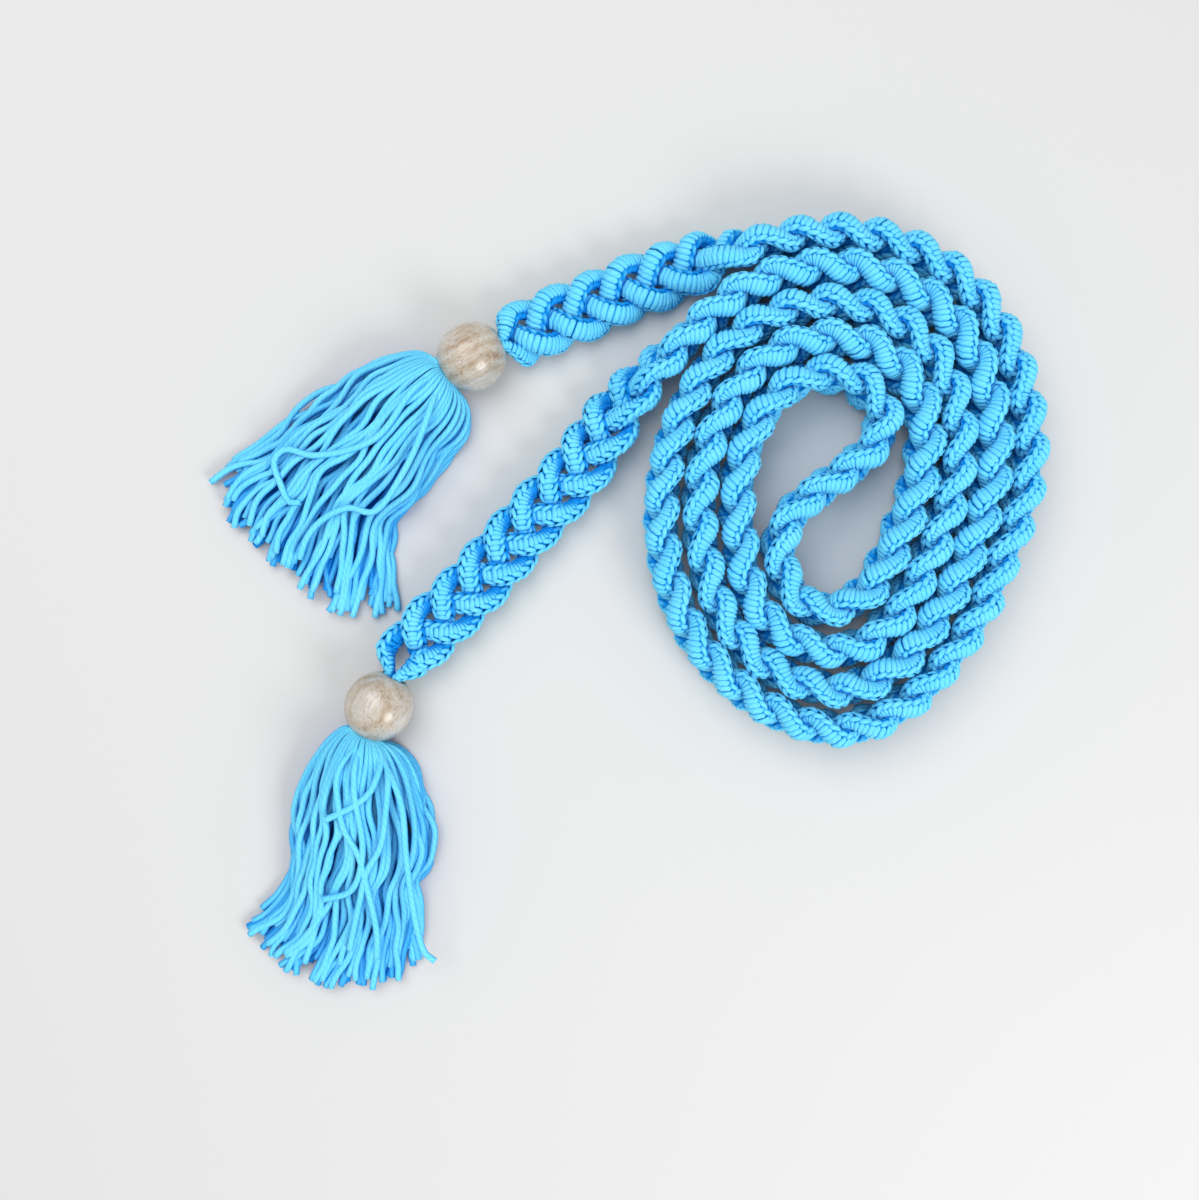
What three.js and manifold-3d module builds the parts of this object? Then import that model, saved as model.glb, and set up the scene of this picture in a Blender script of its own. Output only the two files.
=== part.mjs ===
// A plaited tie belt of crocheted cotton, laid down as a double spiral.
//
// Three crocheted strips are plaited into one flat braid. Each end of the braid runs into a
// turned wooden bead, and a yarn tassel comes out of the bead's far side. The belt is folded at
// its middle and wound up from there, so both ends leave the coil side by side. In the coil the
// braid stands on its edge. It rolls over on the way out and lies flat beside each bead.
//
// Millimetres, +Z up. The belt lies on z = 0 with the middle of its outline over the origin.

import * as THREE from "three";
import Module from "manifold-3d";

// The crocheted strip, and the plait that three of them make. Each strip rocks by STRIP_TILT
// degrees as it crosses another, and its outer edge leans by STRIP_CUP degrees.
const STRIP_WIDTH = 9.4;
const STRIP_THICKNESS = 4.6;
const PLAIT_PERIOD = 46;
const PLAIT_SWING = 8.9;
const PLAIT_LIFT = 4.25;
const STRIP_TILT = 35;
const STRIP_CUP = 18;
const FLOOR_GAP = 0.5;

// The share of a strip's thickness that a radian of bend or roll, in a third of a period,
// presses out of it
const PACKING = 0.62;

// The strips leave a bead as round yarn and soon open to their full width. The plait's phase
// starts a little further out.
const GATHER_LENGTH = 11;
const OPENING_LENGTH = 7.5;
const OPENING_STEPS = [0, 0.5, 1];
const GATHERED_DIAMETER = 3.6;
const PIECE_GAP = 0.3;

// The wooden beads
const BEAD_DIAMETER = 26;
const BEAD_LENGTH = 25;
const BEAD_BORE = 8.8;
const BEAD_EASE = 1;
const BEAD_SIDES = 12;
const BEAD_ARC_STEPS = 6;

// The tassels
const TASSEL_LENGTH = 100;
const LOCK_COUNT = 7;
const LOCK_OVERLAP = 1.25;
const LOCK_ROOT = 6;

// Locks in the middle of a tassel are this much longer than those at its edges, and the edge
// locks keep this share of the height
const MIDDLE_LOCK_REACH = 1.16;
const EDGE_LOCK_HEIGHT = 0.55;
const PACKED_HEIGHT = 0.5;

// A lock's section, as shares of half its width and of its height
const LOCK_SECTION = [
  { across: -1, height: 0 },
  { across: 1, height: 0 },
  { across: 0.9, height: 0.7 },
  { across: 0, height: 1 },
  { across: -0.9, height: 0.7 },
];

// Each tassel fans out on the floor. A row gives how far its left and right edge reach out of
// the bead and to the side, and how high its yarn is piled, as shares of TASSEL_LENGTH.
const TASSEL_ROWS = [
  [
    { leftReach: 0.17, leftSide: 0.145, rightReach: 0.2, rightSide: -0.1, top: 0.2 },
    { leftReach: 0.26, leftSide: 0.29, rightReach: 0.35, rightSide: -0.145, top: 0.24 },
    { leftReach: 0.44, leftSide: 0.4, rightReach: 0.58, rightSide: -0.11, top: 0.2 },
    { leftReach: 0.6, leftSide: 0.54, rightReach: 0.83, rightSide: -0.05, top: 0.13 },
    { leftReach: 0.73, leftSide: 0.77, rightReach: 1.08, rightSide: 0.01, top: 0.05 },
  ],
  [
    { leftReach: 0.17, leftSide: 0.165, rightReach: 0.22, rightSide: -0.1, top: 0.2 },
    { leftReach: 0.24, leftSide: 0.35, rightReach: 0.43, rightSide: -0.06, top: 0.24 },
    { leftReach: 0.36, leftSide: 0.45, rightReach: 0.61, rightSide: 0.01, top: 0.2 },
    { leftReach: 0.54, leftSide: 0.52, rightReach: 0.79, rightSide: 0.08, top: 0.13 },
    { leftReach: 0.78, leftSide: 0.66, rightReach: 0.99, rightSide: 0.06, top: 0.05 },
  ],
];

// The head's radius along the tassel: a neck that fills the bead's bore, then a full bulb
const HEAD_ROWS = [
  { reach: 0.135, radius: 0.085 },
  { reach: 0.18, radius: 0.112 },
  { reach: 0.25, radius: 0.124 },
  { reach: 0.34, radius: 0.1 },
];
const HEAD_SIDES = 10;

// How far from each bead the flat braid starts to roll, and where it stands on its edge
const ROLL = [
  { starts: 80, ends: 126 },
  { starts: 112, ends: 196 },
];

// The coil. The radius in each direction is its start plus the lay for every half turn, both
// as shares of COIL_RADIUS.
const COIL_RADIUS = 50;
const COIL_ROWS = [
  { degrees: 0, start: 0.25, lay: 0.273 },
  { degrees: 30, start: 0.334, lay: 0.274 },
  { degrees: 60, start: 0.495, lay: 0.281 },
  { degrees: 90, start: 0.635, lay: 0.273 },
  { degrees: 120, start: 0.67, lay: 0.268 },
  { degrees: 150, start: 0.612, lay: 0.268 },
  { degrees: 180, start: 0.574, lay: 0.285 },
  { degrees: 210, start: 0.624, lay: 0.308 },
  { degrees: 240, start: 0.91, lay: 0.27 },
  { degrees: 270, start: 0.862, lay: 0.303 },
  { degrees: 300, start: 0.478, lay: 0.29 },
  { degrees: 330, start: 0.3, lay: 0.263 },
];
const COIL_STEP = 15;
const FIRST_ARM = { inner: 90, outer: 810, halfTurnsIn: 0 };
const SECOND_ARM = { inner: 345, outer: 855, halfTurnsIn: 1 };

// Where the braid isn't coiled its route is a list of points about the coil's centre
const FIRST_LEAD = [
  [-145.5, 46.6], [-139.4, 49.7], [-127.1, 56.2], [-114.7, 62], [-100.5, 67.4],
  [-85.9, 73.9], [-70.8, 79.3], [-54.7, 85.5], [-38.5, 88.9], [-21, 92.2],
];
const MIDDLE_BEND = [
  [6.8, 33.8], [11.4, 27.1], [12.5, 20.4], [9, 12.7], [0, 4], [-10.4, -3.5],
  [-20.2, -11.4], [-26, -20.4], [-27.5, -29.6], [-25, -39.8], [-19.3, -47.4],
  [-10.8, -50.6], [-1.6, -48.9], [7.2, -42.5], [13.9, -31.6], [18.4, -22.3],
];
const SECOND_LEAD = [
  [-65.1, 51.5], [-75.6, 41.4], [-84.4, 31.6], [-93.4, 19.6], [-101.3, 8.1],
  [-110.9, -3.5], [-122, -15.4], [-132.1, -27], [-143.6, -40], [-154, -50.8],
  [-166.5, -63], [-174, -74.5], [-181.3, -87.8],
];

// A strip's section: across its width and through its thickness, as shares of half of each
const STRIP_SECTION = [
  { across: 1, through: 0 },
  { across: 0.35, through: 1 },
  { across: -0.85, through: 0.75 },
  { across: -0.85, through: -0.75 },
  { across: 0.35, through: -1 },
];
const GATHERED_SECTION = [
  { across: 1, through: 0 },
  { across: 0.31, through: 0.95 },
  { across: -0.81, through: 0.59 },
  { across: -0.81, through: -0.59 },
  { across: 0.31, through: -0.95 },
];

// The degrees of each plait period at which a strip gets a section: both sides of a crossing
// and both sides of an edge
const SECTION_PHASES = [28, 72, 108, 152, 208, 252, 288, 332];

// A section nearer than this to an end of the plait, in degrees of phase, is left out
const CLOSEST_SECTION = 12;

const RADIAN = Math.PI / 180;
const wasm = await Module();
wasm.setup();

function smooth(share) {
  const t = Math.min(Math.max(share, 0), 1);
  return t * t * (3 - 2 * t);
}

function mix(from, to, share) {
  return from + (to - from) * share;
}

// Reads one column of the coil's rows at any angle, on a curve through the twelve directions
function coilColumn(degrees, column) {
  const spacing = 360 / COIL_ROWS.length;
  const place = THREE.MathUtils.euclideanModulo(degrees, 360) / spacing;
  const row = Math.floor(place);
  const t = place - row;
  const value = (offset) => {
    const index = THREE.MathUtils.euclideanModulo(row + offset, COIL_ROWS.length);
    return COIL_ROWS[index][column];
  };
  const [before, from, to, after] = [-1, 0, 1, 2].map(value);
  const slopeFrom = (to - before) / 2;
  const slopeTo = (after - from) / 2;
  const square = t * t;
  const cube = square * t;
  return (2 * cube - 3 * square + 1) * from + (cube - 2 * square + t) * slopeFrom
    + (3 * square - 2 * cube) * to + (cube - square) * slopeTo;
}

function coilPoint(degrees, arm) {
  const halfTurns = degrees / 180 - arm.halfTurnsIn;
  const share = coilColumn(degrees, "start") + coilColumn(degrees, "lay") * halfTurns;
  const radius = COIL_RADIUS * share;
  return [radius * Math.cos(degrees * RADIAN), radius * Math.sin(degrees * RADIAN)];
}

function routePoints() {
  const points = [...FIRST_LEAD];
  for (let degrees = FIRST_ARM.outer; degrees >= FIRST_ARM.inner; degrees -= COIL_STEP) {
    points.push(coilPoint(degrees, FIRST_ARM));
  }
  points.push(...MIDDLE_BEND);
  for (let degrees = SECOND_ARM.inner; degrees <= SECOND_ARM.outer; degrees += COIL_STEP) {
    points.push(coilPoint(degrees, SECOND_ARM));
  }
  points.push(...SECOND_LEAD);
  return points.map(([x, y]) => new THREE.Vector3(x, y, 0));
}

// The route runs from the middle of one bead to the middle of the other
const route = new THREE.CatmullRomCurve3(routePoints(), false, "centripetal");
route.arcLengthDivisions = 6000;
const routeLength = route.getLength();
const halfBead = BEAD_LENGTH / 2;
const plaitStart = halfBead + GATHER_LENGTH;
const plaitEnd = routeLength - plaitStart;
const thirdsOfPeriod = Math.round((3 * (plaitEnd - plaitStart)) / PLAIT_PERIOD);
const period = (3 * (plaitEnd - plaitStart)) / thirdsOfPeriod;

// Half a turn of roll in all: flat at one end, on edge in the coil, flat at the other end
function rollAt(distance) {
  const fromEnd = routeLength - distance;
  const first = smooth((distance - ROLL[0].starts) / (ROLL[0].ends - ROLL[0].starts));
  const second = smooth((fromEnd - ROLL[1].starts) / (ROLL[1].ends - ROLL[1].starts));
  return 90 * RADIAN * (first + 1 - second);
}

// 0 where the strips are gathered inside a bead, 1 in the full plait
function openingAt(distance) {
  const nearest = Math.min(distance, routeLength - distance);
  return smooth((nearest - halfBead) / OPENING_LENGTH);
}

// The middle of the plait at a distance along the route, with its directions: along it, across
// its width and through its thickness
function plaitFrame(distance) {
  const share = distance / routeLength;
  const middle = route.getPointAt(share);
  const along = route.getTangentAt(share);
  const up = new THREE.Vector3(0, 0, 1);
  const left = new THREE.Vector3().crossVectors(up, along);
  const roll = rollAt(distance);
  const through = up.clone().multiplyScalar(Math.cos(roll)).addScaledVector(left, Math.sin(roll));
  const across = left.clone().multiplyScalar(Math.cos(roll)).addScaledVector(up, -Math.sin(roll));
  const halfWidth = PLAIT_SWING + STRIP_WIDTH / 2;
  const halfThickness = PLAIT_LIFT + STRIP_THICKNESS / 2;
  const standing = Math.hypot(halfWidth * Math.sin(roll), halfThickness * Math.cos(roll));
  middle.z = mix(BEAD_DIAMETER / 2, standing + FLOOR_GAP, openingAt(distance));
  return { middle, along, across, through };
}

// How much of its thickness a strip keeps where the plait is bent or rolled
function packedShare(distance) {
  const reach = period / 6;
  const before = Math.max(distance - reach, 0);
  const after = Math.min(distance + reach, routeLength);
  const directions = [before, after].map((place) => route.getTangentAt(place / routeLength));
  const strain = directions[0].angleTo(directions[1]) + Math.abs(rollAt(after) - rollAt(before));
  return 1 - PACKING * strain;
}

// One section of one strip, at a distance along the route and a phase of its plait
function stripRing(distance, phase) {
  const frame = plaitFrame(distance);
  const opening = openingAt(distance);
  const gathered = (BEAD_BORE - GATHERED_DIAMETER) / 2 - PIECE_GAP;
  const swing = mix(gathered, PLAIT_SWING, opening);
  const lift = mix(gathered, PLAIT_LIFT, opening);
  const slope = (2 * Math.PI / period) * opening;
  const centre = frame.middle.clone()
    .addScaledVector(frame.across, swing * Math.sin(phase))
    .addScaledVector(frame.through, lift * Math.sin(2 * phase));
  const tangent = frame.along.clone()
    .addScaledVector(frame.across, swing * slope * Math.cos(phase))
    .addScaledVector(frame.through, 2 * lift * slope * Math.cos(2 * phase))
    .normalize();
  const wide = frame.across.clone().addScaledVector(tangent, -frame.across.dot(tangent)).normalize();
  const deep = new THREE.Vector3().crossVectors(tangent, wide);
  const lean = STRIP_TILT * Math.cos(3 * phase) - STRIP_CUP * Math.sin(phase);
  const tilt = lean * RADIAN * opening;
  const halfWidth = mix(GATHERED_DIAMETER, STRIP_WIDTH, opening) / 2;
  const thickness = STRIP_THICKNESS * packedShare(distance);
  const halfThickness = mix(GATHERED_DIAMETER, thickness, opening) / 2;
  return STRIP_SECTION.map((corner, index) => {
    const round = GATHERED_SECTION[index];
    const a = halfWidth * mix(round.across, corner.across, opening);
    const b = halfThickness * mix(round.through, corner.through, opening);
    return centre.clone()
      .addScaledVector(wide, a * Math.cos(tilt) - b * Math.sin(tilt))
      .addScaledVector(deep, a * Math.sin(tilt) + b * Math.cos(tilt));
  });
}

// A closed skin over a run of rings, each with the same number of corners
function loft(rings) {
  const sides = rings[0].length;
  const positions = rings.flat().flatMap((point) => [point.x, point.y, point.z]);
  const indices = [];
  for (let ring = 0; ring < rings.length - 1; ring += 1) {
    for (let side = 0; side < sides; side += 1) {
      const a = ring * sides + side;
      const b = ring * sides + ((side + 1) % sides);
      indices.push(a, b, a + sides, b, b + sides, a + sides);
    }
  }
  const last = (rings.length - 1) * sides;
  for (let side = 1; side < sides - 1; side += 1) {
    indices.push(0, side + 1, side, last, last + side, last + side + 1);
  }
  const geometry = new THREE.BufferGeometry();
  geometry.setAttribute("position", new THREE.Float32BufferAttribute(positions, 3));
  geometry.setIndex(indices);
  return geometry;
}

function strandGeometry(strand) {
  const firstPhase = 90 + 120 * strand;
  const phaseAt = (distance) => firstPhase + (360 * (distance - plaitStart)) / period;
  const lastPhase = phaseAt(plaitEnd);
  const rings = [];
  const addRing = (distance, phase) => rings.push(stripRing(distance, phase * RADIAN));
  const openingSteps = OPENING_STEPS.map((share) => halfBead + OPENING_LENGTH * share);
  const steps = [PIECE_GAP / 2, ...openingSteps];
  steps.forEach((distance) => addRing(distance, firstPhase));
  const firstTurn = Math.floor(firstPhase / 360);
  const lastTurn = Math.ceil(lastPhase / 360);
  for (let turn = firstTurn; turn <= lastTurn; turn += 1) {
    for (const sectionPhase of SECTION_PHASES) {
      const phase = 360 * turn + sectionPhase;
      if (phase > firstPhase + CLOSEST_SECTION && phase < lastPhase - CLOSEST_SECTION) {
        addRing(plaitStart + ((phase - firstPhase) / 360) * period, phase);
      }
    }
  }
  steps.reverse().forEach((distance) => addRing(routeLength - distance, lastPhase));
  return loft(rings);
}

function beadGeometry() {
  const bore = BEAD_BORE / 2;
  const radius = BEAD_DIAMETER / 2;
  const bevel = Math.asin((bore + BEAD_EASE) / radius);
  const profile = [new THREE.Vector2(bore, -halfBead + BEAD_EASE / 2)];
  for (let step = 0; step <= BEAD_ARC_STEPS; step += 1) {
    const angle = mix(bevel, Math.PI - bevel, step / BEAD_ARC_STEPS);
    const height = -Math.cos(angle) / Math.cos(bevel);
    profile.push(new THREE.Vector2(radius * Math.sin(angle), halfBead * height));
  }
  profile.push(new THREE.Vector2(bore, halfBead - BEAD_EASE / 2), profile[0].clone());
  return new THREE.LatheGeometry(profile, BEAD_SIDES);
}

function toManifold(geometry) {
  const vertProperties = Float32Array.from(geometry.getAttribute("position").array);
  const triVerts = Uint32Array.from(geometry.index.array);
  return new wasm.Manifold(new wasm.Mesh({ numProp: 3, vertProperties, triVerts }));
}

function fromManifold(solid) {
  const mesh = solid.getMesh();
  const geometry = new THREE.BufferGeometry();
  geometry.setAttribute("position", new THREE.BufferAttribute(mesh.vertProperties, 3));
  geometry.setIndex(Array.from(mesh.triVerts));
  return geometry;
}

// One tapered lock of yarn, flat underneath where it lies on the floor. It springs from the
// head, at a share of the way across the tassel from its right edge to its left one.
function lockGeometry(rows, share) {
  const crown = 4 * share * (1 - share);
  const longer = mix(1, MIDDLE_LOCK_REACH, crown);
  const centres = rows.map((row) => [
    TASSEL_LENGTH * mix(row.rightReach, row.leftReach, share),
    TASSEL_LENGTH * mix(row.rightSide, row.leftSide, share),
  ]);
  const tip = centres.length - 1;
  centres[tip] = centres[tip].map((value) => value * longer);
  const spring = [halfBead + LOCK_ROOT, 0];
  const stations = [spring, ...centres];
  const rings = stations.map(([reach, side], index) => {
    const before = stations[Math.max(index - 1, 0)];
    const after = stations[Math.min(index + 1, stations.length - 1)];
    const run = Math.hypot(after[0] - before[0], after[1] - before[1]);
    const ahead = [(after[0] - before[0]) / run, (after[1] - before[1]) / run];
    const row = rows[Math.max(index - 1, 0)];
    const spread = Math.hypot(row.leftReach - row.rightReach, row.leftSide - row.rightSide);
    const sprung = index === 0;
    const width = sprung ? LOCK_ROOT : (LOCK_OVERLAP * TASSEL_LENGTH * spread) / (LOCK_COUNT - 1);
    const piled = TASSEL_LENGTH * row.top * mix(EDGE_LOCK_HEIGHT, 1, crown);
    const low = sprung ? (BEAD_DIAMETER - LOCK_ROOT) / 2 : 0;
    const high = sprung ? (BEAD_DIAMETER + LOCK_ROOT) / 2 : piled;
    return LOCK_SECTION.map(({ across, height }) => new THREE.Vector3(
      reach - (width / 2) * across * ahead[1],
      side + (width / 2) * across * ahead[0],
      mix(low, high, height),
    ));
  });
  return loft(rings);
}

// The yarn packed between the locks, from the head to where the locks part
function packedYarnGeometry(rows) {
  const root = LOCK_ROOT / 2;
  const middle = BEAD_DIAMETER / 2;
  const spring = halfBead + LOCK_ROOT;
  const rings = [[
    new THREE.Vector3(spring, -root, middle - root),
    new THREE.Vector3(spring, root, middle - root),
    new THREE.Vector3(spring, root, middle + root),
    new THREE.Vector3(spring, -root, middle + root),
  ]];
  for (const row of rows.slice(0, -1)) {
    const right = [TASSEL_LENGTH * row.rightReach, TASSEL_LENGTH * row.rightSide];
    const left = [TASSEL_LENGTH * row.leftReach, TASSEL_LENGTH * row.leftSide];
    const high = TASSEL_LENGTH * row.top * PACKED_HEIGHT;
    rings.push([
      new THREE.Vector3(...right, 0),
      new THREE.Vector3(...left, 0),
      new THREE.Vector3(...left, high),
      new THREE.Vector3(...right, high),
    ]);
  }
  return loft(rings);
}

function headGeometry() {
  const neck = BEAD_BORE / 2 - PIECE_GAP;
  const stations = [
    { reach: PIECE_GAP / 2, radius: neck },
    { reach: halfBead + PIECE_GAP, radius: neck },
    ...HEAD_ROWS.map((row) => ({
      reach: row.reach * TASSEL_LENGTH,
      radius: row.radius * TASSEL_LENGTH,
    })),
  ];
  const rings = stations.map(({ reach, radius }) => {
    const ring = [];
    for (let side = 0; side < HEAD_SIDES; side += 1) {
      const angle = (2 * Math.PI * side) / HEAD_SIDES;
      ring.push(new THREE.Vector3(
        reach,
        radius * Math.cos(angle),
        BEAD_DIAMETER / 2 + radius * Math.sin(angle),
      ));
    }
    return ring;
  });
  return loft(rings);
}

function tasselGeometry(rows) {
  let solid = toManifold(headGeometry()).add(toManifold(packedYarnGeometry(rows)));
  for (let lock = 0; lock < LOCK_COUNT; lock += 1) {
    solid = solid.add(toManifold(lockGeometry(rows, lock / (LOCK_COUNT - 1))));
  }
  return fromManifold(solid);
}

const yarn = { color: 0x6ccbf2, roughness: 0.85, metalness: 0 };
const wood = { color: 0xc9ab84, roughness: 0.45, metalness: 0 };

function piece(name, geometry, finish) {
  const mesh = new THREE.Mesh(geometry, new THREE.MeshStandardMaterial(finish));
  mesh.name = name;
  return mesh;
}

const belt = new THREE.Group();
for (let strand = 0; strand < 3; strand += 1) {
  belt.add(piece(`strand_${strand + 1}`, strandGeometry(strand), yarn));
}

// A bead and its tassel share a group at each end, turned to point out of the plait
[0, 1].forEach((end) => {
  const outward = route.getTangentAt(end).multiplyScalar(end === 0 ? -1 : 1);
  const finial = new THREE.Group();
  finial.position.copy(route.getPointAt(end));
  finial.rotation.z = Math.atan2(outward.y, outward.x);
  const bead = piece(`bead_${end + 1}`, beadGeometry(), wood);
  bead.rotation.z = -Math.PI / 2;
  bead.position.z = BEAD_DIAMETER / 2;
  finial.add(bead, piece(`tassel_${end + 1}`, tasselGeometry(TASSEL_ROWS[end]), yarn));
  belt.add(finial);
});

belt.updateMatrixWorld(true);
const outline = new THREE.Box3().setFromObject(belt, true);
const middle = outline.getCenter(new THREE.Vector3());
belt.position.set(-middle.x, -middle.y, -outline.min.z);

export default belt;
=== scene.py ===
"""A plaited crochet rope belt with wooden beads and yarn tassels, laid down as a double spiral.

The scene is in metres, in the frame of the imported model: +Z up, the belt lying on z = 0. Places
and sizes of the belt are listed in millimetres.
"""

import math

import bpy
import numpy as np
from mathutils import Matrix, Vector


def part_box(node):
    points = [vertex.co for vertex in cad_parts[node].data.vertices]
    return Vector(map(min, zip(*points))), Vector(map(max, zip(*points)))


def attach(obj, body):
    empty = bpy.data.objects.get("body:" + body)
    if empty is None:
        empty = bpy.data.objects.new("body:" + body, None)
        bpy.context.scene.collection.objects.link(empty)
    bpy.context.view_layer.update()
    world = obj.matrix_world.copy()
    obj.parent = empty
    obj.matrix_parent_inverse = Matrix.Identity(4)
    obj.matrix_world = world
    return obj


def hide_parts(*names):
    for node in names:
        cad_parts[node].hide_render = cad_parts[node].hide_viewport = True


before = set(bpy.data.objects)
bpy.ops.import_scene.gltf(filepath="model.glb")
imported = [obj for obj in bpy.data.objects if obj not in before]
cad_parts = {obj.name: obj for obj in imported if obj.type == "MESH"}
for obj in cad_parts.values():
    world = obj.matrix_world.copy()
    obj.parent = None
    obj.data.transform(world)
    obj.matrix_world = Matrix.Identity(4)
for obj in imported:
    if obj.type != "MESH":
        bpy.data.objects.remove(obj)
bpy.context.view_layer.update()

# The camera. The belt was photographed from straight above, half a metre over the middle of its
# own height. Places on the belt are listed about the middle of its coil, and the first bead shows
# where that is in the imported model.
MM = 0.001
FIRST_BEAD = (-145.5, 46.6)
CAMERA_OVER = (-96.4, -47.0)
CAMERA_RISE = 500
CAMERA_SPAN = 461.6
MIDDLE_HEIGHT = 13

bead_low, bead_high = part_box("bead_1")
frame_shift = np.array((bead_low + bead_high) / 2)[:2] / MM - FIRST_BEAD
camera = bpy.data.cameras.new("camera")
camera.sensor_width = 36
camera.lens = camera.sensor_width * CAMERA_RISE / CAMERA_SPAN
camera_object = bpy.data.objects.new("camera", camera)
camera_object.location = (
    (CAMERA_OVER[0] + frame_shift[0]) * MM,
    (CAMERA_OVER[1] + frame_shift[1]) * MM,
    (CAMERA_RISE + MIDDLE_HEIGHT) * MM,
)
bpy.context.scene.collection.objects.link(camera_object)
bpy.context.scene.camera = camera_object
bpy.context.scene.view_settings.view_transform = "Standard"

# The route of the plait. The belt is folded at its middle and wound up from there, as two arms
# of one spiral, and both ends leave the coil side by side and run out to their beads.
BEAD_DIAMETER = 26
BEAD_LENGTH = 25
COIL_RADIUS = 50
COIL_ROWS = (
    # degrees, start, lay
    (0, 0.25, 0.273),
    (30, 0.334, 0.274),
    (60, 0.495, 0.281),
    (90, 0.635, 0.273),
    (120, 0.67, 0.268),
    (150, 0.612, 0.268),
    (180, 0.574, 0.285),
    (210, 0.624, 0.308),
    (240, 0.91, 0.27),
    (270, 0.862, 0.303),
    (300, 0.478, 0.29),
    (330, 0.3, 0.263),
)
COIL_STEP = 15
FIRST_ARM = {"inner": 90, "outer": 810, "half_turns_in": 0}
SECOND_ARM = {"inner": 345, "outer": 855, "half_turns_in": 1}
FIRST_LEAD = (
    FIRST_BEAD, (-139.4, 49.7), (-127.1, 56.2), (-114.7, 62), (-100.5, 67.4),
    (-85.9, 73.9), (-70.8, 79.3), (-54.7, 85.5), (-38.5, 88.9), (-21, 92.2),
)
MIDDLE_BEND = (
    (6.8, 33.8), (11.4, 27.1), (12.5, 20.4), (9, 12.7), (0, 4), (-10.4, -3.5),
    (-20.2, -11.4), (-26, -20.4), (-27.5, -29.6), (-25, -39.8), (-19.3, -47.4),
    (-10.8, -50.6), (-1.6, -48.9), (7.2, -42.5), (13.9, -31.6), (18.4, -22.3),
)
SECOND_LEAD = (
    (-65.1, 51.5), (-75.6, 41.4), (-84.4, 31.6), (-93.4, 19.6), (-101.3, 8.1),
    (-110.9, -3.5), (-122, -15.4), (-132.1, -27), (-143.6, -40), (-154, -50.8),
    (-166.5, -63), (-174, -74.5), (-181.3, -87.8),
)
ROUTE_STEPS = 24
SHORTEST_STEP = 1e-4


def coil_value(degrees, place):
    """The value at one place of the coil's rows, on a smooth curve through the directions."""
    spacing = 360 / len(COIL_ROWS)
    row, t = divmod((degrees % 360) / spacing, 1)
    before, start, end, after = (
        COIL_ROWS[(int(row) + offset) % len(COIL_ROWS)][place] for offset in (-1, 0, 1, 2)
    )
    slope_start = (end - before) / 2
    slope_end = (after - start) / 2
    return (
        (2 * t**3 - 3 * t**2 + 1) * start + (t**3 - 2 * t**2 + t) * slope_start
        + (3 * t**2 - 2 * t**3) * end + (t**3 - t**2) * slope_end
    )


def coil_point(degrees, arm):
    """The middle of the plait at any angle of one arm, which grows outwards with every turn."""
    half_turns = degrees / 180 - arm["half_turns_in"]
    radius = COIL_RADIUS * (coil_value(degrees, 1) + coil_value(degrees, 2) * half_turns)
    return (
        radius * math.cos(math.radians(degrees)),
        radius * math.sin(math.radians(degrees)),
    )


def through_points(points, steps):
    """A smooth curve through the points, with this many steps to a span. It stays tight where
    they lie close together."""
    points = np.asarray(points, float)
    ahead = 2 * points[:1] - points[1:2]
    beyond = 2 * points[-1:] - points[-2:-1]
    padded = np.concatenate([ahead, points, beyond])
    t = np.arange(steps)[:, None] / steps
    spans = []
    for before, start, end, after in zip(padded, padded[1:], padded[2:], padded[3:]):
        d0, d1, d2 = (
            max(np.linalg.norm(b - a) ** 0.5, SHORTEST_STEP)
            for a, b in ((before, start), (start, end), (end, after))
        )
        m1 = ((start - before) / d0 - (end - before) / (d0 + d1) + (end - start) / d1) * d1
        m2 = ((end - start) / d1 - (after - start) / (d1 + d2) + (after - end) / d2) * d1
        spans.append(
            (2 * t**3 - 3 * t**2 + 1) * start + (t**3 - 2 * t**2 + t) * m1
            + (3 * t**2 - 2 * t**3) * end + (t**3 - t**2) * m2
        )
    return np.concatenate([*spans, points[-1:]])


def lengths_along(points):
    """How far each point lies along the line through them."""
    steps = np.linalg.norm(np.diff(points, axis=0), axis=1)
    return np.concatenate([[0], np.cumsum(steps)])


def read_along(at, places, values):
    """Each column of values, which are known at the places, read at other places."""
    return np.stack([np.interp(at, places, known) for known in values.T], axis=-1)


def unit(vectors):
    return vectors / np.linalg.norm(vectors, axis=-1, keepdims=True)


first_coil = range(FIRST_ARM["outer"], FIRST_ARM["inner"] - 1, -COIL_STEP)
second_coil = range(SECOND_ARM["inner"], SECOND_ARM["outer"] + 1, COIL_STEP)
route = through_points(
    [
        *FIRST_LEAD,
        *(coil_point(degrees, FIRST_ARM) for degrees in first_coil),
        *MIDDLE_BEND,
        *(coil_point(degrees, SECOND_ARM) for degrees in second_coil),
        *SECOND_LEAD,
    ],
    ROUTE_STEPS,
)
route_places = lengths_along(route)
route_length = route_places[-1]

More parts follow.
